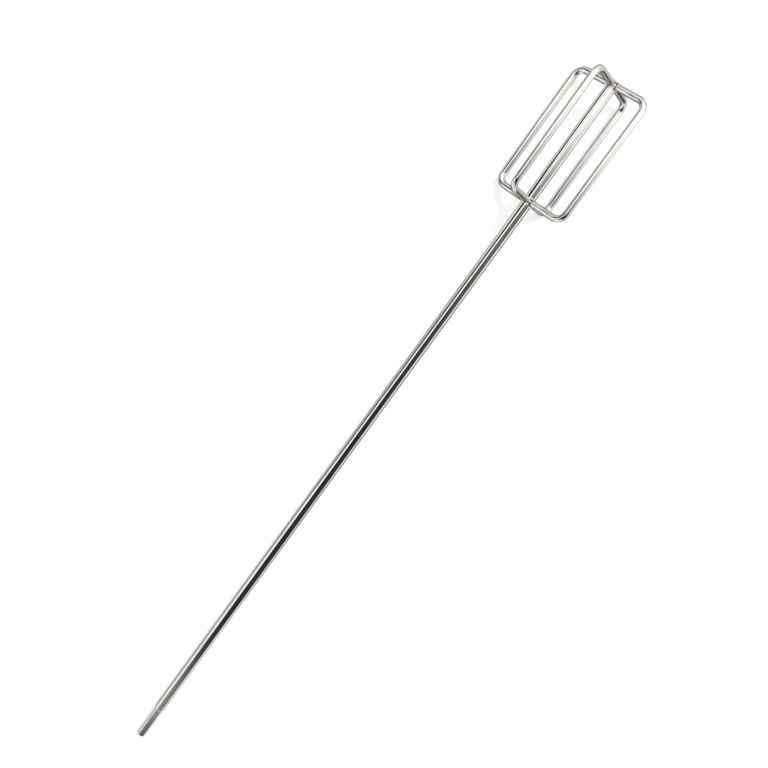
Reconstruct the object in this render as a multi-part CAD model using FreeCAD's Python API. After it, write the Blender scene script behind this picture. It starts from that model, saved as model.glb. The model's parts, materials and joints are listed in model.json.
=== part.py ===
import FreeCAD, Part
import math
import os

# Mortar mixing paddle for a drill: a round bar with a hexagonal shank at one end and, at the other,
# a cage of four wires, each bent to a U and welded to the bar at both of its ends.
#
# Every piece is first made along the bar: x runs from the shank's end (0) to the nose of the cage,
# y is across and z is up. The whole paddle is then tilted onto the floor, where it lies on the
# shank's end and on the two lower wires, and its origin is put under the middle of its box.
# Millimetres throughout.

# ---- Driving dimensions ----
shaft_diameter = 8.0
shaft_length = 600.0
shank_across_flats = 6.35
shank_length = 27.5
shank_end_diameter = 5.5
shank_crown_radius = 4.6
shoulder_bevel_depth = 0.3
shoulder_bevel_length = 0.6
nose_edge_break = 0.3

wire_diameter = 5.0
cage_outer_diameter = 64.0
cage_arm_spacing = 93.0
arm_to_nose = 3.0
wire_bend_radius = 6.8

weld_radius = 4.3
weld_centre_from_axis = 2.4

# Where the four wires stand round the bar, in degrees from +Y towards +Z
wire_places = {
    "upper_left": 45.0,
    "upper_right": 135.0,
    "lower_right": 225.0,
    "lower_left": 315.0,
}

# The grooves between neighbouring wires, which the weld beads fill
groove_places = {
    "left": 0.0,
    "top": 90.0,
    "right": 180.0,
    "bottom": 270.0,
}

# ---- Worked out from the driving dimensions ----
shaft_radius = shaft_diameter / 2
wire_radius = wire_diameter / 2
cage_wire_radius = cage_outer_diameter / 2 - wire_radius
nose_arm_x = shaft_length - arm_to_nose
neck_arm_x = nose_arm_x - cage_arm_spacing
hub_places = {"neck": neck_arm_x, "nose": nose_arm_x}
shoulder_x = shank_length + shoulder_bevel_length
crown_centre_x = math.sqrt(shank_crown_radius**2 - (shank_end_diameter / 2) ** 2)

along = FreeCAD.Vector(1, 0, 0)
across = FreeCAD.Vector(0, 1, 0)
up = FreeCAD.Vector(0, 0, 1)


def turned(outline):
    """The solid that a closed outline of (x, radius) points makes when it turns about the bar's axis."""
    points = [FreeCAD.Vector(x, 0, radius) for x, radius in outline]
    wire = Part.makePolygon(points + points[:1])
    return Part.Face(wire).revolve(FreeCAD.Vector(), along, 360)


def round_bar():
    """The round length of the shaft, with its shoulder bevelled and its nose edge broken."""
    return turned([
        (shank_length, 0),
        (shank_length, shaft_radius - shoulder_bevel_depth),
        (shoulder_x, shaft_radius),
        (shaft_length - nose_edge_break, shaft_radius),
        (shaft_length, shaft_radius - nose_edge_break),
        (shaft_length, 0),
    ])


def hexagonal_shank():
    """The shank that a drill chuck grips, one flat facing up, with the edge of its end turned to a ball."""
    corner_radius = shank_across_flats / math.sqrt(3)
    corners = []
    for corner in range(6):
        angle = math.radians(60 * corner)
        corners.append(FreeCAD.Vector(0, corner_radius * math.cos(angle), corner_radius * math.sin(angle)))
    prism = Part.Face(Part.makePolygon(corners + corners[:1])).extrude(along * shoulder_x)
    crown_centre = along * crown_centre_x
    ball = Part.makeSphere(shank_crown_radius, crown_centre, along)
    behind = Part.makeCylinder(shank_crown_radius, shoulder_x, crown_centre, along)
    return prism.common(ball.fuse(behind))


def drive_shaft():
    """One bar: the round shaft and the hexagonal shank cut on its end."""
    return round_bar().fuse(hexagonal_shank()).removeSplitter()


def cage_wire(place):
    """One U of round wire in the plane at this angle round the bar, its two ends coped to the bar."""
    start_radius = shaft_radius / 2
    outer = cage_wire_radius
    bend = wire_bend_radius
    bend_midpoint = bend * (1 - math.cos(math.radians(45)))

    def at(x, radius):
        return FreeCAD.Vector(x, radius, 0)

    neck_bend_start = at(neck_arm_x, outer - bend)
    neck_bend_end = at(neck_arm_x + bend, outer)
    nose_bend_start = at(nose_arm_x - bend, outer)
    nose_bend_end = at(nose_arm_x, outer - bend)
    path = Part.Wire([
        Part.makeLine(at(neck_arm_x, start_radius), neck_bend_start),
        Part.Arc(
            neck_bend_start,
            at(neck_arm_x + bend_midpoint, outer - bend_midpoint),
            neck_bend_end,
        ).toShape(),
        Part.makeLine(neck_bend_end, nose_bend_start),
        Part.Arc(
            nose_bend_start,
            at(nose_arm_x - bend_midpoint, outer - bend_midpoint),
            nose_bend_end,
        ).toShape(),
        Part.makeLine(nose_bend_end, at(nose_arm_x, start_radius)),
    ])
    section = Part.Wire(Part.makeCircle(wire_radius, at(neck_arm_x, start_radius), across))
    wire = path.makePipeShell([section], True, False)
    bar = Part.makeCylinder(shaft_radius, shaft_length, FreeCAD.Vector(), along)
    wire = wire.cut(bar)
    wire.rotate(FreeCAD.Vector(), along, place)
    return wire


def groove_wedge(hub_x, place):
    """The quarter of space round one hub that lies between two neighbouring wires' centre planes."""
    half_length = 2 * weld_radius
    reach = 2 * weld_radius
    corners = [
        FreeCAD.Vector(hub_x - half_length, 0, 0),
        FreeCAD.Vector(hub_x - half_length, reach, -reach),
        FreeCAD.Vector(hub_x - half_length, reach, reach),
    ]
    wedge = Part.Face(Part.makePolygon(corners + corners[:1])).extrude(along * 2 * half_length)
    wedge.rotate(FreeCAD.Vector(), along, place)
    return wedge


def weld_bead(hub_x, place, shaft, wires):
    """A rounded bead that fills the groove between two wires and the bar, and laps onto all three."""
    angle = math.radians(place)
    centre = FreeCAD.Vector(
        hub_x,
        weld_centre_from_axis * math.cos(angle),
        weld_centre_from_axis * math.sin(angle),
    )
    bead = Part.makeSphere(weld_radius, centre, along)
    bead = bead.common(groove_wedge(hub_x, place))
    return bead.cut([shaft] + wires)


def resting_tilt():
    """The angle that the bar rises by, with the shank's lower flat and the lower wires' bends on the floor."""
    flat_radius = shank_across_flats / 2
    touch_x = crown_centre_x - math.sqrt(shank_crown_radius**2 - flat_radius**2)
    span = neck_arm_x + wire_bend_radius - touch_x
    slope = math.cos(math.radians(45))
    tilt = 0.0
    for _ in range(20):
        bend_drop = wire_bend_radius * math.hypot(math.sin(tilt), slope * math.cos(tilt))
        level_drop = (slope * (cage_wire_radius - wire_bend_radius) - flat_radius) * math.cos(tilt)
        tilt = math.asin((level_drop + bend_drop + wire_radius) / span)
    return math.degrees(tilt)


def make_pieces():
    """Every piece by name, along the bar."""
    shaft = drive_shaft()
    wires = {name: cage_wire(place) for name, place in wire_places.items()}
    pieces = {"drive_shaft": shaft}
    for name, wire in wires.items():
        pieces["cage_wire_" + name] = wire
    for hub, hub_x in hub_places.items():
        for name, place in groove_places.items():
            bead = weld_bead(hub_x, place, shaft, list(wires.values()))
            pieces[hub + "_weld_" + name] = bead
    return pieces


def lay_on_floor(pieces):
    """Tilt every piece to the resting pose, then put the origin at the middle of the box's underside."""
    tilt = FreeCAD.Rotation(across, -resting_tilt())
    for shape in pieces.values():
        shape.Placement = FreeCAD.Placement(FreeCAD.Vector(), tilt).multiply(shape.Placement)
    box = Part.makeCompound(list(pieces.values())).optimalBoundingBox(False, False)
    shift = FreeCAD.Vector(-box.Center.x, 0, -box.ZMin)
    for shape in pieces.values():
        shape.translate(shift)
    return shift


os.makedirs("parts", exist_ok=True)
pieces = make_pieces()
shift = lay_on_floor(pieces)
print("tilt", round(resting_tilt(), 4), "degrees; shank end at x", round(shift.x, 4), "z", round(shift.z, 4))
for name, shape in pieces.items():
    solid = shape.Solids[0]
    print(name, len(shape.Solids), "solid,", round(solid.Volume, 2), "mm3, valid", solid.isValid())
    solid.exportStep("parts/" + name + ".step")
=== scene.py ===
import json
import math
import random

import bmesh
import bpy
from mathutils import Matrix, Vector


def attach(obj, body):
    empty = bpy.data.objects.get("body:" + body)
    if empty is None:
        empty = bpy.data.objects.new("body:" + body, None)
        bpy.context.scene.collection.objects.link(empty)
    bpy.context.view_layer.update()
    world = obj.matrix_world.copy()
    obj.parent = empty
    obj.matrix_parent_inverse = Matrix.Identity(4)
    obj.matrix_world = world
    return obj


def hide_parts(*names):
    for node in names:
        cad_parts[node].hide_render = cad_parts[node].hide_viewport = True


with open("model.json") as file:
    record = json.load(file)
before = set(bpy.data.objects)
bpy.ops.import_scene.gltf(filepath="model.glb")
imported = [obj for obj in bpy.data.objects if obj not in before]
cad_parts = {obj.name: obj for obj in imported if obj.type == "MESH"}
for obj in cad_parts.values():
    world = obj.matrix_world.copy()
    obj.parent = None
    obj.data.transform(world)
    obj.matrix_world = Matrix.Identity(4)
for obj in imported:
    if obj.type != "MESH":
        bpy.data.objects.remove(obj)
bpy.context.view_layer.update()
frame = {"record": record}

# ---- Sizes of the paddle, in metres. x is measured along the bar from the shank's end ----
SHAFT_LENGTH = 0.600
SHAFT_RADIUS = 0.004
NOSE_EDGE_BREAK = 0.0003

SHANK_LENGTH = 0.0275
SHANK_FLAT_RADIUS = 0.003175
SHANK_EDGE_RADIUS = 0.00028
SHANK_END_RADIUS = 0.00275
SHANK_CROWN_RADIUS = 0.0046
SHANK_CROWN_LENGTH = 0.00095
SHOULDER_BEVEL_DEPTH = 0.0003
SHOULDER_BEVEL_LENGTH = 0.0006

NECK_ARM_X = 0.504
NOSE_ARM_X = 0.597
# A hair under the CAD wire's 2.5 mm, so that the mesh stays inside the CAD box.
WIRE_RADIUS = 0.00249
WIRE_CENTRE_RADIUS = 0.0295
WIRE_BEND_RADIUS = 0.0068
# How deep a wire's end sits in the bar.
WIRE_SINK = 0.0006

# Angles about the bar, in degrees.
WIRE_PLACES = {"upper_left": 45.0, "upper_right": 135.0, "lower_right": 225.0, "lower_left": 315.0}
GROOVE_PLACES = {"left": -90.0, "top": 0.0, "right": 90.0, "bottom": 180.0}

# ---- How finely the meshes are divided ----
CORNER_STEPS, FLAT_STEPS = 4, 17
CROWN_STEPS, SHANK_STEPS, BAR_STEPS = 10, 12, 120
ARM_STEPS, BEND_STEPS, SIDE_STEPS, WIRE_SECTION_STEPS = 12, 16, 40, 48
SHARP_EDGE = math.radians(20)
WELD_SHARP_EDGE = math.radians(60)

# ---- The bar's own frame: x along the bar, z up, set on the mount at the shank's end ----
end_face = next(m for m in frame["record"]["mounts"] if m["name"] == "shank_end_face")
bar_along = -Vector(end_face["axis"]).normalized()
bar_across = Vector((0, 1, 0))
bar_up = bar_along.cross(bar_across).normalized()
bar_turn = Matrix((bar_along, bar_across, bar_up)).transposed().to_4x4()
BAR = Matrix.Translation(Vector(end_face["pos_m"])) @ bar_turn


def add_piece(name, mesh, grain, heat_tint_and_shade, material, node, sharp=SHARP_EDGE):
    """A piece that replaces one CAD node and rides on the root body. Its mesh is in the bar's frame.

    grain holds each vertex's place in the straight rod that the metal was drawn as.
    The second layer holds, from 0 to 1, how much each vertex is tinted: brown from the welding near
    the hubs, painted shade where the wires meet the bar, and painted shade between the weld lumps.
    """
    mesh.name = name
    place = mesh.attributes.new("grain", "FLOAT_VECTOR", "POINT")
    place.data.foreach_set("vector", [value for point in grain for value in point])
    tint_and_shade_layer = mesh.attributes.new("heat_tint_and_shade", "FLOAT", "POINT")
    tint_and_shade_layer.data.foreach_set("value", heat_tint_and_shade)
    mesh.transform(BAR)
    for polygon in mesh.polygons:
        polygon.use_smooth = True
    mesh.set_sharp_from_angle(angle=sharp)
    mesh.materials.append(material)
    piece = bpy.data.objects.new(name, mesh)
    bpy.context.scene.collection.objects.link(piece)
    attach(piece, "root")
    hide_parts(node)


def loft(rings):
    """A closed skin through rings of equal count, with a fan over each end."""
    count = len(rings[0])
    vertices = [Vector(point) for ring in rings for point in ring]
    faces = []
    for r in range(len(rings) - 1):
        low, high = r * count, (r + 1) * count
        for k in range(count):
            after = (k + 1) % count
            faces.append((low + k, low + after, high + after, high + k))
    for start, flip in ((0, True), ((len(rings) - 1) * count, False)):
        centre = len(vertices)
        vertices.append(sum(vertices[start:start + count], Vector()) / count)
        for k in range(count):
            face = (start + k, start + (k + 1) % count, centre)
            faces.append(face[::-1] if flip else face)
    mesh = bpy.data.meshes.new("loft")
    mesh.from_pydata(vertices, [], faces)
    mesh.update()
    return mesh


class Graph:
    """Short ways to add nodes to one node tree. A term may be a number or another node's socket."""

    def __init__(self, tree):
        self.nodes, self.links = tree.nodes, tree.links

    def feed(self, socket, term):
        if isinstance(term, bpy.types.NodeSocket):
            self.links.new(term, socket)
        else:
            socket.default_value = term

    def maths(self, operation, *terms):
        node = self.nodes.new("ShaderNodeMath")
        node.operation = operation
        for socket, term in zip(node.inputs, terms):
            self.feed(socket, term)
        return node.outputs["Value"]

    def product(self, value, *factors):
        for factor in factors:
            value = self.maths("MULTIPLY", value, factor)
        return value

    def shaded(self, value, *shades):
        """The value, darkened by each shade in turn. A shade of 1 is black, and 0 does nothing."""
        return self.product(value, *(self.maths("SUBTRACT", 1.0, shade) for shade in shades))

    def distance(self, value, middle):
        return self.maths("ABSOLUTE", self.maths("SUBTRACT", value, middle))

    def curve(self, value, constant, slope, bend):
        """constant + slope * value + bend * value squared."""
        inner = self.maths("MULTIPLY_ADD", value, bend, slope)
        return self.maths("MULTIPLY_ADD", inner, value, constant)

    def mapped(self, value, start, end, low, high, interpolation="LINEAR"):
        """Goes from low to high while the value goes from start to end."""
        node = self.nodes.new("ShaderNodeMapRange")
        node.interpolation_type = interpolation
        self.feed(node.inputs["Value"], value)
        node.inputs["From Min"].default_value = start
        node.inputs["From Max"].default_value = end
        node.inputs["To Min"].default_value = low
        node.inputs["To Max"].default_value = high
        return node.outputs["Result"]

    def step(self, value, middle, width, low=0.0, high=1.0):
        """Goes smoothly from low to high over this width about the middle."""
        start, end = middle - width / 2, middle + width / 2
        return self.mapped(value, start, end, low, high, "SMOOTHSTEP")

    def mixed(self, share, first, second):
        """A colour between the first and the second."""
        node = self.nodes.new("ShaderNodeMix")
        node.data_type = "RGBA"
        self.feed(node.inputs["Factor"], share)
        for socket, colour in ((node.inputs["A"], first), (node.inputs["B"], second)):
            self.feed(socket, (*colour, 1) if isinstance(colour, tuple) else colour)
        return node.outputs["Result"]

    def attribute(self, name, output):
        node = self.nodes.new("ShaderNodeAttribute")
        node.attribute_name = name
        return node.outputs[output]

    def stretched(self, vector, scale):
        node = self.nodes.new("ShaderNodeMapping")
        node.inputs["Scale"].default_value = scale
        self.feed(node.inputs["Vector"], vector)
        return node.outputs["Vector"]

    def noise(self, vector, scale, detail):
        node = self.nodes.new("ShaderNodeTexNoise")
        node.inputs["Scale"].default_value = scale
        node.inputs["Detail"].default_value = detail
        self.feed(node.inputs["Vector"], vector)
        return node.outputs["Fac"]


# ---- Materials ----
# Noise over the plating, as (cycles per metre, detail). The drawing marks are stretched lengthwise.
MARK_STRETCH, MARK_NOISE = (9.0, 900.0, 900.0), (1.0, 3.0)
CLOUD_NOISE = (90.0, 4.0)
SPECK_NOISE = (1400.0, 2.0)
# The part of each noise's range that shows.
MARK_RANGE, CLOUD_RANGE, SPECK_RANGE = (0.3, 0.7), (0.42, 0.72), (0.66, 0.76)
SPECK_DULLNESS = 0.35
SPECK_HEIGHT = 0.15
# The least and the most roughness, as shares of the metal's own.
SMOOTHEST, ROUGHEST = 0.7, 1.6
BUMP_STRENGTH = 0.1

# The third colour in this row is the welding's brown near the hubs, and also the colour of the
# painted shade at the wires' roots.
PLATING, DULL_PLATING, HEAT_TINT_AND_ROOT_SHADE = (0.67, 0.655, 0.63), (0.61, 0.59, 0.56), (0.22, 0.17, 0.14)
# The third colour in this row is painted shade, near black, that fills the crevices between the weld
# lumps.
WELD, DULL_WELD, WELD_CREVICE_SHADE = (0.90, 0.88, 0.86), (0.76, 0.72, 0.69), (0.012, 0.010, 0.009)

# How far in metres, and how strongly, the welding browns the metal, and how far and how dark the
# painted shade is on the wires' roots where they meet the bar.
HEAT_REACH, HEAT_DEPTH = 0.007, 0.08
ROOT_SHADE_REACH, ROOT_SHADE_DEPTH = 0.0008, 0.45


def new_material(name):
    material = bpy.data.materials.new(name)
    material.use_nodes = True
    return material, material.node_tree.nodes["Principled BSDF"]


def plated_metal(name, tint, dull_tint, tint_and_shade_colour, roughness, roughness_where_tinted, bump_depth):
    """Bright plating with drawing marks, cloudy patches, small specks, and a tint from a vertex
    layer: welding brown near the hubs, and painted shade at the wires' roots and between the weld
    lumps.
    """
    material, surface = new_material(name)
    graph = Graph(material.node_tree)
    grain = graph.attribute("grain", "Vector")
    heat_tint_and_shade = graph.attribute("heat_tint_and_shade", "Fac")
    marks = graph.noise(graph.stretched(grain, MARK_STRETCH), *MARK_NOISE)
    clouds = graph.noise(grain, *CLOUD_NOISE)
    specks = graph.noise(grain, *SPECK_NOISE)

    colour = graph.mixed(graph.mapped(clouds, *CLOUD_RANGE, 0, 1), tint, dull_tint)
    colour = graph.mixed(graph.mapped(specks, *SPECK_RANGE, 0, SPECK_DULLNESS), colour, dull_tint)
    # Mix in the tint layer: the welding's brown, and painted shade at the wires' roots and between
    # the weld lumps.
    colour = graph.mixed(heat_tint_and_shade, colour, tint_and_shade_colour)
    rough = graph.mapped(marks, *MARK_RANGE, roughness * SMOOTHEST, roughness * ROUGHEST)
    rough = graph.maths("MULTIPLY_ADD", heat_tint_and_shade, roughness_where_tinted, rough)
    bump = graph.nodes.new("ShaderNodeBump")
    bump.inputs["Strength"].default_value = BUMP_STRENGTH
    bump.inputs["Distance"].default_value = bump_depth
    graph.feed(bump.inputs["Height"], graph.maths("MULTIPLY_ADD", specks, SPECK_HEIGHT, marks))

    surface.inputs["Metallic"].default_value = 1.0
    graph.feed(surface.inputs["Base Color"], colour)
    graph.feed(surface.inputs["Roughness"], rough)
    graph.feed(surface.inputs["Normal"], bump.outputs["Normal"])
    return material


bar_plating = plated_metal(
    "bar_plating", PLATING, DULL_PLATING, HEAT_TINT_AND_ROOT_SHADE,
    roughness=0.045, roughness_where_tinted=0.06, bump_depth=0.00014)
wire_plating = plated_metal(
    "wire_plating", PLATING, DULL_PLATING, HEAT_TINT_AND_ROOT_SHADE,
    roughness=0.05, roughness_where_tinted=0.06, bump_depth=0.00014)
weld_plating = plated_metal(
    "weld_plating", WELD, DULL_WELD, WELD_CREVICE_SHADE,
    roughness=0.12, roughness_where_tinted=0.5, bump_depth=0.0003)


def heat(distance):
    """How brown the metal is at this distance from a weld."""
    return HEAT_DEPTH * math.exp(-((distance / HEAT_REACH) ** 2))


def root_shade(distance):
    """How strongly painted shade darkens a wire's root at this distance from the bar's surface."""
    return ROOT_SHADE_DEPTH * math.exp(-((distance / ROOT_SHADE_REACH) ** 2))


# ---- Shaft ----
def ring_angles():
    """Angles round the bar, closer together where the shank's six corners are rounded."""
    flat_share = 1 - SHANK_EDGE_RADIUS / SHANK_FLAT_RADIUS
    half_flat = math.degrees(math.atan(flat_share * math.tan(math.radians(30))))
    half_corner = 30 - half_flat
    angles = []
    for corner in range(0, 360, 60):
        for k in range(CORNER_STEPS):
            angles.append(corner - half_corner + 2 * half_corner * k / CORNER_STEPS)
        for k in range(FLAT_STEPS):
            angles.append(corner + half_corner + 2 * half_flat * k / FLAT_STEPS)
    return [math.radians(angle) for angle in angles]


def shank_reach(angle):
    """Distance from the axis to the surface of a hexagon with rounded corners and a flat on top."""
    half_side = math.radians(30)
    from_corner = abs((angle + half_side) % (2 * half_side) - half_side)
    flat = SHANK_FLAT_RADIUS / math.cos(half_side - from_corner)
    rounding_centre = (SHANK_FLAT_RADIUS - SHANK_EDGE_RADIUS) / math.cos(half_side)
    aside = rounding_centre * math.sin(from_corner)
    if aside > SHANK_EDGE_RADIUS:
        return flat
    outwards = math.sqrt(SHANK_EDGE_RADIUS**2 - aside**2)
    return min(flat, rounding_centre * math.cos(from_corner) + outwards)


def ring_at(x, reaches, angles):
    return [(x, reach * math.cos(angle), reach * math.sin(angle))
            for reach, angle in zip(reaches, angles)]


def build_shaft():
    """A hexagonal shank with a ball-turned end, a shoulder with a small bevel, and the round bar."""
    angles = ring_angles()
    hexagon = [shank_reach(angle) for angle in angles]
    crown_middle = math.sqrt(SHANK_CROWN_RADIUS**2 - SHANK_END_RADIUS**2)
    rings = []
    for k in range(CROWN_STEPS + 1):
        x = SHANK_CROWN_LENGTH * k / CROWN_STEPS
        limit = math.sqrt(SHANK_CROWN_RADIUS**2 - (crown_middle - x) ** 2)
        rings.append(ring_at(x, [min(reach, limit) for reach in hexagon], angles))
    for k in range(1, SHANK_STEPS + 1):
        x = SHANK_CROWN_LENGTH + (SHANK_LENGTH - SHANK_CROWN_LENGTH) * k / SHANK_STEPS
        rings.append(ring_at(x, hexagon, angles))

    bar_start = SHANK_LENGTH + SHOULDER_BEVEL_LENGTH
    bar_end = SHAFT_LENGTH - NOSE_EDGE_BREAK
    outline = [(SHANK_LENGTH, SHAFT_RADIUS - SHOULDER_BEVEL_DEPTH)]
    for k in range(BAR_STEPS + 1):
        outline.append((bar_start + (bar_end - bar_start) * k / BAR_STEPS, SHAFT_RADIUS))
    outline.append((SHAFT_LENGTH, SHAFT_RADIUS - NOSE_EDGE_BREAK))
    rings += [ring_at(x, [radius] * len(angles), angles) for x, radius in outline]

    mesh = loft(rings)
    grain = [tuple(v.co) for v in mesh.vertices]
    heat_tint_and_shade = [max(heat(v.co.x - NECK_ARM_X), heat(v.co.x - NOSE_ARM_X)) for v in mesh.vertices]
    add_piece("shaft", mesh, grain, heat_tint_and_shade, bar_plating, "drive_shaft")


# ---- Wires ----
def wire_path():
    """Centre points of one U in its own plane, as (x, distance from the bar's axis)."""
    bend, outer = WIRE_BEND_RADIUS, WIRE_CENTRE_RADIUS
    root = SHAFT_RADIUS - WIRE_SINK
    points = []

    def line(a, b, steps):
        for k in range(steps):
            share = k / steps
            points.append((a[0] + (b[0] - a[0]) * share, a[1] + (b[1] - a[1]) * share))

    def arc(centre, first):
        for k in range(BEND_STEPS):
            angle = math.radians(first - 90 * k / BEND_STEPS)
            points.append((centre[0] + bend * math.cos(angle), centre[1] + bend * math.sin(angle)))

    line((NECK_ARM_X, root), (NECK_ARM_X, outer - bend), ARM_STEPS)
    arc((NECK_ARM_X + bend, outer - bend), 180)
    line((NECK_ARM_X + bend, outer), (NOSE_ARM_X - bend, outer), SIDE_STEPS)
    arc((NOSE_ARM_X - bend, outer - bend), 90)
    line((NOSE_ARM_X, outer - bend), (NOSE_ARM_X, root), ARM_STEPS)
    points.append((NOSE_ARM_X, root))
    return points


def build_wire(name, place):
    """One U of round wire, swept along its path in the plane at this angle about the bar."""
    path = wire_path()
    turn = Matrix.Rotation(math.radians(place), 3, "X")
    side = Vector((0, 0, 1))
    rings = []
    grain = []
    heat_tint_and_shade = []
    travelled = 0.0
    for k, (x, radius) in enumerate(path):
        before, after = path[max(k - 1, 0)], path[min(k + 1, len(path) - 1)]
        travelled += math.dist(before, (x, radius))
        along = Vector((after[0] - before[0], after[1] - before[1], 0)).normalized()
        out = side.cross(along)
        centre = Vector((x, radius, 0))
        ring = []
        for s in range(WIRE_SECTION_STEPS):
            angle = 2 * math.pi * s / WIRE_SECTION_STEPS
            across, aside = WIRE_RADIUS * math.cos(angle), WIRE_RADIUS * math.sin(angle)
            ring.append(turn @ (centre + out * across + side * aside))
            # The place is added so that each wire has marks of its own.
            grain.append((travelled + place, across, aside))
        rings.append(ring)
        from_bar = math.hypot(min(x - NECK_ARM_X, NOSE_ARM_X - x), radius - SHAFT_RADIUS)
        # The wire's tint: welding brown near the hubs, plus painted shade close to the bar where the
        # wire meets it.
        heat_tint_and_shade += [heat(from_bar) + root_shade(from_bar)] * WIRE_SECTION_STEPS
    # The middles of the two end faces, which are inside the bar.
    grain += [(place, 0, 0), (travelled + place, 0, 0)]
    heat_tint_and_shade += [heat(0), heat(0)]
    add_piece(
        "wire_" + name, loft(rings), grain, heat_tint_and_shade, wire_plating, "cage_wire_" + name)


# ---- Welds. Sizes are in metres, and heights are from the bar's axis ----
WELD_VOXEL = 0.00012
WELD_SOFTENING, WELD_SOFTENING_ROUNDS = 0.5, 2
# Over this distance, outside a lump, the metal turns from bright to the near-black painted shade
# between the lumps.
LUMP_EDGE = 0.00008
LUMP_SPACING = 0.0023
LUMP_HEIGHT = 0.0042
MIDDLE_LUMP_RISE = 0.0006
LUMP_SIZES = (0.00075, 0.00100)
LUMP_BREADTH = 1.25
LUMP_STRAY_ALONG, LUMP_STRAY_ASIDE, LUMP_STRAY_UP = 0.0003, 0.0006, 0.0002
SIDE_LUMP_OFFSET = 0.0019
SIDE_LUMP_HEIGHT = 0.0047
SIDE_LUMP_SIZES = (0.0006, 0.0009)
SIDE_LUMP_LENGTH = 1.3
SIDE_LUMP_STRAY_ALONG = 0.0010
BED_HEIGHT = 0.0037
BED_RADII = (0.0030, 0.0023, 0.0010)


def blob(bm, centre, radii, turn):
    shape = bmesh.ops.create_icosphere(bm, subdivisions=3, radius=1.0)
    scale = Matrix.Diagonal(radii)
    for vertex in shape["verts"]:
        vertex.co = turn @ (Vector(centre) + scale @ vertex.co)


def merged(bm):
    """One smooth closed mesh from overlapping blobs."""
    mesh = bpy.data.meshes.new("blobs")
    bm.to_mesh(mesh)
    bm.free()
    holder = bpy.data.objects.new("blobs", mesh)
    bpy.context.scene.collection.objects.link(holder)
    remesh = holder.modifiers.new("merge", "REMESH")
    remesh.mode = "VOXEL"
    remesh.voxel_size = WELD_VOXEL
    smooth = holder.modifiers.new("soften", "SMOOTH")
    smooth.factor = WELD_SOFTENING
    smooth.iterations = WELD_SOFTENING_ROUNDS
    graph = bpy.context.evaluated_depsgraph_get()
    result = bpy.data.meshes.new_from_object(holder.evaluated_get(graph))
    bpy.data.objects.remove(holder)
    return result


def crevice_shade(mesh, lumps, turn):
    """For each vertex, from 0 to 1, how much painted shade it gets in the crevices between the lumps.
    """
    back = turn.transposed()
    shares = []
    for vertex in mesh.vertices:
        point = back @ vertex.co
        gap = min(
            (Vector([(a - c) / r for a, c, r in zip(point, centre, radii)]).length - 1) * min(radii)
            for centre, radii in lumps)
        shares.append(min(max((gap - LUMP_EDGE) / LUMP_EDGE, 0.0), 1.0))
    return shares


def weld_lumps(hub_x, draw):
    """Three lumps along the groove and one on each side of it, each as (centre, radii)."""
    def stray(reach):
        return draw.uniform(-reach, reach)

    lumps = []
    for share in (-1, 0, 1):
        x = hub_x + share * LUMP_SPACING + stray(LUMP_STRAY_ALONG)
        aside = stray(LUMP_STRAY_ASIDE)
        height = LUMP_HEIGHT + MIDDLE_LUMP_RISE * (1 - abs(share)) + stray(LUMP_STRAY_UP)
        size = draw.uniform(*LUMP_SIZES)
        lumps.append(((x, aside, height), (size, size * LUMP_BREADTH, size)))
    for way in (-1, 1):
        x = hub_x + stray(SIDE_LUMP_STRAY_ALONG)
        size = draw.uniform(*SIDE_LUMP_SIZES)
        height = SIDE_LUMP_HEIGHT + stray(LUMP_STRAY_UP)
        lumps.append(((x, way * SIDE_LUMP_OFFSET, height), (size * SIDE_LUMP_LENGTH, size, size)))
    return lumps


def build_weld(hub, hub_x, groove, place, seed):
    """A bead in the groove between two wires: bright lumps on a bed that is painted near black
    between them, as shade.
    """
    turn = Matrix.Rotation(math.radians(place), 3, "X")
    lumps = weld_lumps(hub_x, random.Random(seed))
    bm = bmesh.new()
    for centre, radii in lumps + [((hub_x, 0, BED_HEIGHT), BED_RADII)]:
        blob(bm, centre, radii, turn)
    mesh = merged(bm)
    grain = [tuple(v.co) for v in mesh.vertices]
    # The bed between the lumps gets painted shade, near black.
    heat_tint_and_shade = crevice_shade(mesh, lumps, turn)
    name = hub + "_bead_" + groove
    node = hub + "_weld_" + groove
    add_piece(name, mesh, grain, heat_tint_and_shade, weld_plating, node, WELD_SHARP_EDGE)


build_shaft()
for wire_name, wire_place in WIRE_PLACES.items():
    build_wire(wire_name, wire_place)
seed = 1
for hub_name, hub_x in (("neck", NECK_ARM_X), ("nose", NOSE_ARM_X)):
    for groove_name, groove_place in GROOVE_PLACES.items():
        build_weld(hub_name, hub_x, groove_name, groove_place, seed)
        seed += 1


# ---- Floor ----
FLOOR_HALF_SIDE = 8.0
FLOOR_COLOUR = (0.55, 0.55, 0.55, 1)
FLOOR_ROUGHNESS = 0.9
FLOOR_GLOW = 0.52


def build_floor():
    """A pale floor. Its glow keeps shadows on it faint, and the metal doesn't mirror it."""
    material, surface = new_material("floor_paint")
    surface.inputs["Base Color"].default_value = FLOOR_COLOUR
    surface.inputs["Roughness"].default_value = FLOOR_ROUGHNESS
    surface.inputs["Specular IOR Level"].default_value = 0.0
    surface.inputs["Emission Color"].default_value = (1, 1, 1, 1)
    surface.inputs["Emission Strength"].default_value = FLOOR_GLOW
    half = FLOOR_HALF_SIDE
    corners = [(-half, -half, 0), (half, -half, 0), (half, half, 0), (-half, half, 0)]
    mesh = bpy.data.meshes.new("floor")
    mesh.from_pydata(corners, [], [(0, 1, 2, 3)])
    mesh.materials.append(material)
    floor = bpy.data.objects.new("floor", mesh)
    bpy.context.scene.collection.objects.link(floor)
    floor.visible_glossy = False


build_floor()


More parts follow.
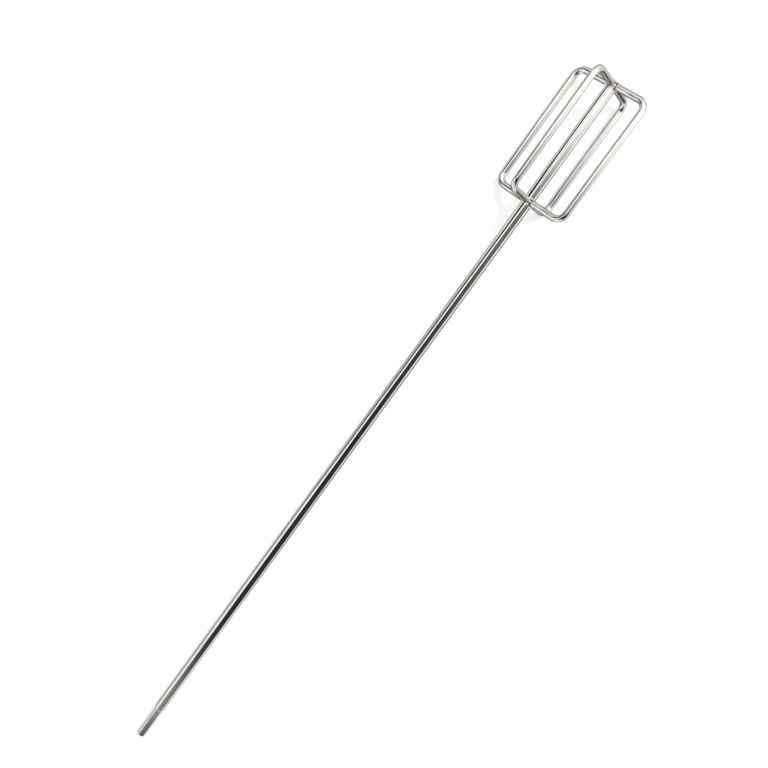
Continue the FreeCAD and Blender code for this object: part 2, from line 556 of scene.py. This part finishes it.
# ---- Studio ----
# Brightness of the world by direction, in degrees. "Around" turns about the paddle's length: 0 is
# level on the photo's left, 90 straight up, 180 level on its right. "Lengthwise" is the lean towards
# the nose, and is below 0 towards the shank. The numbers were tuned against the photo's tones.
# A STEP is (middle, width, low, high): smoothly from low to high over the width about the middle.
# A COURSE is (constant, slope, bend): a border's place around, as a curve over the lean.
AROUND_SEAM_HIGH, AROUND_SEAM_LOW = 250.0, -110.0
LEAN_LOWEST, LEAN_HIGHEST = -40.0, 14.0

# The white beside the paddle, and the white overhead.
SIDE_STEP = (1.0, 8.0, 0.84, 1.2)
SIDE_LOSS_PAST_NOSE_STEP = (22.0, 10.0, 0.0, 0.25)
SIDE_GAIN_PAST_SHANK_STEP = (-43.0, 7.0, 0.3, 0.0)
OVERHEAD_LEVEL = 1.4
OVERHEAD_GAIN_AT_CAGE_STEP = (5.5, 5.0, 0.0, 0.2)
OVERHEAD_GAIN_AT_SHANK_STEP = (-28.0, 8.0, 0.05, 0.0)
SIDE_TO_OVERHEAD_STEP = (0.0, 24.0)
RIGHT_AROUND_STEP = (148.0, 16.0)
RIGHT_DEPTH_STEP = (-2.0, 8.0, 0.18, 0.0)

# Edge: a dark band near level on the photo's left, for the dark line along the bar's left side.
EDGE_COURSE = (21.0, 1.14, -0.023)
EDGE_LEAN_HIGHEST = 0.0
EDGE_DROP_AT_CAGE_STEP = (4.0, 6.0, 0.0, -23.0)
EDGE_HALF_WIDTH_STEP = (-18.0, 14.0, 13.0, 17.0)
EDGE_BORDER_STEP = (0.0, 4.0, 1.0, 0.0)
EDGE_NOSE_STEP = (20.0, 8.0, 1.0, 0.0)
EDGE_SHANK_STEP = (-22.0, 16.0, 0.5, 1.0)

# Canopy: a dark band overhead, for the dark core of the bar. Glow is a lighter strip inside it.
CANOPY_NEAR_COURSE = (69.0, 1.65, 0.023)
CANOPY_NEAR_SOFTNESS_STEP = (-29.0, 16.0, 60.0, 4.0)
CANOPY_NEAR_BORDER_STEP = (0.0, 1.0)
CANOPY_FAR_COURSE = (145.3, 0.73, 0.050)
CANOPY_FAR_LEAN_LOWEST = -22.0
CANOPY_FAR_BORDER_STEP = (0.0, 5.0)
CANOPY_DEPTH_STEP = (-3.0, 14.0, 0.98, 0.91)
CANOPY_NOSE_STEP = (4.6, 9.0, 1.0, 0.0)
CANOPY_SHANK_STEP = (-34.5, 7.0, 0.72, 1.0)
CANOPY_GAIN_ON_SHANK_STEP = (-37.0, 1.5, 0.20, 0.0)
CANOPY_PAST_SHANK_STEP = (-48.0, 8.0, 0.0, 1.0)
GLOW_MIDDLE = 105.0
GLOW_BORDER_STEP = (14.0, 20.0, 1.0, 0.0)
GLOW_DEPTH_STEP = (-7.0, 18.0, 0.02, 0.13)

# Skirt: dark below level on the photo's right, for the bar's right outline.
SKIRT_START_STEP = (185.0, 28.0)
SKIRT_DEPTH_STEP = (212.0, 14.0, 0.97, 0.6)
SKIRT_BAR_STEP = (-25.0, 14.0, 0.42, 1.0)
SKIRT_SHANK_STEP = (-37.0, 1.5, 0.0, 1.0)
SKIRT_CAGE_STEP = (8.0, 8.0, 1.0, 0.8)
SKIRT_NOSE_STEP = (16.0, 8.0, 1.0, 0.55)

# Dark low down on the photo's left. Dark towards straight down, by the direction's height.
OUTER_STEP = (-60.0, 30.0, 0.6, 0.0)
BELOW_STEP = (-0.75, 0.3, 0.65, 0.0)

# Far past the nose and the shank, by height again, so that the paddle reads from other sides.
PAST_NOSE_START_STEP, PAST_NOSE_END_STEP = (24.0, 10.0, 0.0, 1.0), (72.0, 12.0, 1.0, 0.0)
PAST_SHANK_START_STEP, PAST_SHANK_END_STEP = (-48.0, 12.0, 1.0, 0.0), (-72.0, 12.0, 0.0, 1.0)
HAZE_HEIGHT, HAZE_STEP = 0.06, (0.16, 0.10, 0.22, 0.0)
HORIZON_HEIGHT, HORIZON_STEP = 0.03, (0.06, 0.06, 0.5, 0.0)
CEILING_HEIGHT, CEILING_STEP = 0.33, (0.14, 0.08, 0.45, 0.0)
GROUND_STEP = (-0.30, 0.40, 0.3, 0.0)

BACKDROP = (0.92, 0.92, 0.92, 1)


class Studio(Graph):
    """A white studio with soft dark bands, which the plating mirrors as stripes."""

    def __init__(self, tree):
        super().__init__(tree)
        degrees = 180 / math.pi
        coordinates = self.nodes.new("ShaderNodeTexCoord")
        split = self.nodes.new("ShaderNodeSeparateXYZ")
        self.feed(split.inputs["Vector"], coordinates.outputs["Generated"])
        x, y, self.height = (split.outputs[axis] for axis in "XYZ")
        around = self.product(self.maths("ARCTAN2", self.height, y), degrees)
        self.around = self.maths("WRAP", around, AROUND_SEAM_HIGH, AROUND_SEAM_LOW)
        self.lengthwise = self.product(self.maths("ARCSINE", x), degrees)
        lean = self.maths("MAXIMUM", self.lengthwise, LEAN_LOWEST)
        self.lean = self.maths("MINIMUM", lean, LEAN_HIGHEST)

    def lengthwise_steps(self, *steps):
        return [self.step(self.lengthwise, *step) for step in steps]

    def white(self):
        side, loss, gain, gain_at_cage, gain_at_shank, right_depth = self.lengthwise_steps(
            SIDE_STEP, SIDE_LOSS_PAST_NOSE_STEP, SIDE_GAIN_PAST_SHANK_STEP,
            OVERHEAD_GAIN_AT_CAGE_STEP, OVERHEAD_GAIN_AT_SHANK_STEP, RIGHT_DEPTH_STEP)
        side = self.maths("ADD", self.maths("SUBTRACT", side, loss), gain)
        overhead = self.maths("ADD", OVERHEAD_LEVEL, gain_at_cage)
        overhead = self.maths("ADD", overhead, gain_at_shank)
        upper = self.step(self.around, *SIDE_TO_OVERHEAD_STEP)
        level = self.product(self.maths("SUBTRACT", overhead, side), upper)
        level = self.maths("ADD", level, side)
        right = self.step(self.around, *RIGHT_AROUND_STEP)
        return self.shaded(level, self.product(right, right_depth))

    def edge(self):
        drop, half_width, nose, shank = self.lengthwise_steps(
            EDGE_DROP_AT_CAGE_STEP, EDGE_HALF_WIDTH_STEP, EDGE_NOSE_STEP, EDGE_SHANK_STEP)
        middle = self.curve(self.maths("MINIMUM", self.lean, EDGE_LEAN_HIGHEST), *EDGE_COURSE)
        middle = self.maths("ADD", middle, drop)
        past_border = self.maths("SUBTRACT", self.distance(self.around, middle), half_width)
        return self.product(self.step(past_border, *EDGE_BORDER_STEP), nose, shank)

    def canopy(self):
        softness, depth, glow_depth, nose, shank, on_shank, past_shank = self.lengthwise_steps(
            CANOPY_NEAR_SOFTNESS_STEP, CANOPY_DEPTH_STEP, GLOW_DEPTH_STEP, CANOPY_NOSE_STEP,
            CANOPY_SHANK_STEP, CANOPY_GAIN_ON_SHANK_STEP, CANOPY_PAST_SHANK_STEP)
        near = self.maths("SUBTRACT", self.around, self.curve(self.lean, *CANOPY_NEAR_COURSE))
        near = self.step(self.maths("DIVIDE", near, softness), *CANOPY_NEAR_BORDER_STEP)
        far_lean = self.maths("MAXIMUM", self.lean, CANOPY_FAR_LEAN_LOWEST)
        far = self.maths("SUBTRACT", self.curve(far_lean, *CANOPY_FAR_COURSE), self.around)
        far = self.step(far, *CANOPY_FAR_BORDER_STEP)
        glow = self.step(self.distance(self.around, GLOW_MIDDLE), *GLOW_BORDER_STEP)
        depth = self.maths("SUBTRACT", depth, self.product(glow, glow_depth))
        shank = self.maths("ADD", shank, on_shank)
        return self.product(near, far, depth, nose, shank, past_shank)

    def skirt(self):
        start = self.step(self.around, *SKIRT_START_STEP)
        depth = self.step(self.around, *SKIRT_DEPTH_STEP)
        return self.product(start, depth, *self.lengthwise_steps(
            SKIRT_BAR_STEP, SKIRT_SHANK_STEP, SKIRT_CAGE_STEP, SKIRT_NOSE_STEP))

    def outer(self):
        return self.step(self.around, *OUTER_STEP)

    def below(self):
        return self.step(self.height, *BELOW_STEP)

    def far_shades(self):
        past_nose = self.product(*self.lengthwise_steps(PAST_NOSE_START_STEP, PAST_NOSE_END_STEP))
        past_shank = self.product(*self.lengthwise_steps(PAST_SHANK_START_STEP, PAST_SHANK_END_STEP))
        haze = self.step(self.distance(self.height, HAZE_HEIGHT), *HAZE_STEP)
        horizon = self.step(self.distance(self.height, HORIZON_HEIGHT), *HORIZON_STEP)
        ceiling = self.step(self.distance(self.height, CEILING_HEIGHT), *CEILING_STEP)
        ground = self.step(self.height, *GROUND_STEP)
        return [self.product(shade, past_nose) for shade in (haze, horizon, ceiling, ground)] + [
            self.product(shade, past_shank) for shade in (ceiling, ground)]

    def level(self):
        return self.shaded(
            self.white(), self.edge(), self.canopy(), self.skirt(), self.outer(), self.below(),
            *self.far_shades())


def build_world():
    """The studio lights the paddle and shows in it. The camera sees a plain pale backdrop instead."""
    world = bpy.data.worlds.new("studio")
    bpy.context.scene.world = world
    world.use_nodes = True
    studio = Studio(world.node_tree)
    nodes = studio.nodes
    background = nodes["Background"]
    background.inputs["Color"].default_value = (1, 1, 1, 1)
    studio.feed(background.inputs["Strength"], studio.level())
    backdrop = nodes.new("ShaderNodeBackground")
    backdrop.inputs["Color"].default_value = BACKDROP
    ray = nodes.new("ShaderNodeLightPath")
    choice = nodes.new("ShaderNodeMixShader")
    studio.feed(choice.inputs["Fac"], ray.outputs["Is Camera Ray"])
    studio.feed(choice.inputs[1], background.outputs["Background"])
    studio.feed(choice.inputs[2], backdrop.outputs["Background"])
    studio.feed(nodes["World Output"].inputs["Surface"], choice.outputs["Shader"])


KEY_SIZE = 0.6
KEY_POWER = 13.0
KEY_AIM = Vector((0.25, 0, 0))
KEY_TOWARDS = Vector((0.64, -0.04, 0.77)).normalized()
KEY_DISTANCE = 1.5


def build_key():
    """A soft light beyond the cage, which lays faint shadows and doesn't show in the metal."""
    data = bpy.data.lights.new("key", "AREA")
    data.shape = "DISK"
    data.size = KEY_SIZE
    data.energy = KEY_POWER
    key = bpy.data.objects.new("key", data)
    bpy.context.scene.collection.objects.link(key)
    turn = KEY_TOWARDS.to_track_quat("Z", "Y").to_matrix().to_4x4()
    key.matrix_world = Matrix.Translation(KEY_AIM + KEY_TOWARDS * KEY_DISTANCE) @ turn
    key.visible_glossy = False


build_world()
build_key()


# ---- Camera. Angles are in degrees, distances in metres, the lens and sensor in millimetres ----
CAMERA_AZIMUTH = 148.18
CAMERA_ELEVATION = 73.38
CAMERA_ROLL = 156.10
CAMERA_DISTANCE = 0.6633
CAMERA_LENS = 43.39
CAMERA_SENSOR = 36.0
CAMERA_CLIPS = (0.01, 50.0)
# It aims at this share of the bar's length from the shank's end, and this far to the side.
AIM_SHARE = 0.5699
AIM_ACROSS = 0.0068


def place_camera():
    """The camera looks down on the paddle, a little from the cage's end, and is rolled."""
    aim = BAR @ Vector((SHAFT_LENGTH * AIM_SHARE, AIM_ACROSS, 0))
    azimuth, elevation = math.radians(CAMERA_AZIMUTH), math.radians(CAMERA_ELEVATION)
    back = Vector((
        math.sin(azimuth) * math.cos(elevation),
        -math.cos(azimuth) * math.cos(elevation),
        math.sin(elevation),
    ))
    level_right = (-back).cross(Vector((0, 0, 1))).normalized()
    level_up = level_right.cross(-back)
    roll = math.radians(CAMERA_ROLL)
    right = level_right * math.cos(roll) + level_up * math.sin(roll)
    up = back.cross(right)
    data = bpy.data.cameras.new("camera")
    data.lens = CAMERA_LENS
    data.sensor_width = CAMERA_SENSOR
    data.clip_start, data.clip_end = CAMERA_CLIPS
    camera = bpy.data.objects.new("camera", data)
    bpy.context.scene.collection.objects.link(camera)
    turn = Matrix((right, up, back)).transposed().to_4x4()
    camera.matrix_world = Matrix.Translation(aim + back * CAMERA_DISTANCE) @ turn
    bpy.context.scene.camera = camera


place_camera()
bpy.context.scene.view_settings.view_transform = "Standard"
